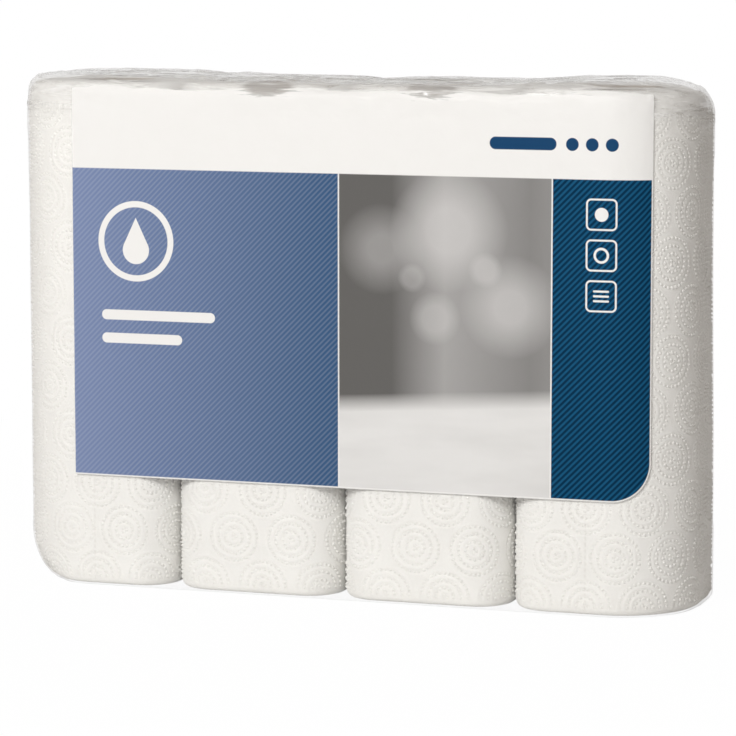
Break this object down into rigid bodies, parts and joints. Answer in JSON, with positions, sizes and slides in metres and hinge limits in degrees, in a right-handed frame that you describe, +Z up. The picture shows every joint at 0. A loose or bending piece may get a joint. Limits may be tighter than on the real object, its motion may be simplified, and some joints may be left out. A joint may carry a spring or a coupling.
{
  "type": "pack of paper towel rolls",
  "caption": "Sealed pack of kitchen paper rolls standing on end in a row, wrapped in clear printed film; each roll is embossed paper on a cardboard core.",
  "frame": {"origin": "middle of the pack's footprint, on the surface it stands on", "axes": "+Z up along the rolls, +X along the row, -Y out of the printed front"},
  "size_m": [0.3636, 0.1022, 0.2618],
  "materials": {
    "paper": "embossed, soft",
    "cardboard": "raw grey-brown board",
    "film": "clear, glossy, crinkled"
  },
  "bodies": {
    "root": {"roll_1": "paper", "roll_2": "paper", "roll_3": "paper", "roll_4": "paper", "core_1": "cardboard", "core_2": "cardboard", "core_3": "cardboard", "core_4": "cardboard", "film_wrap": "film"}
  },
  "joints": []
}
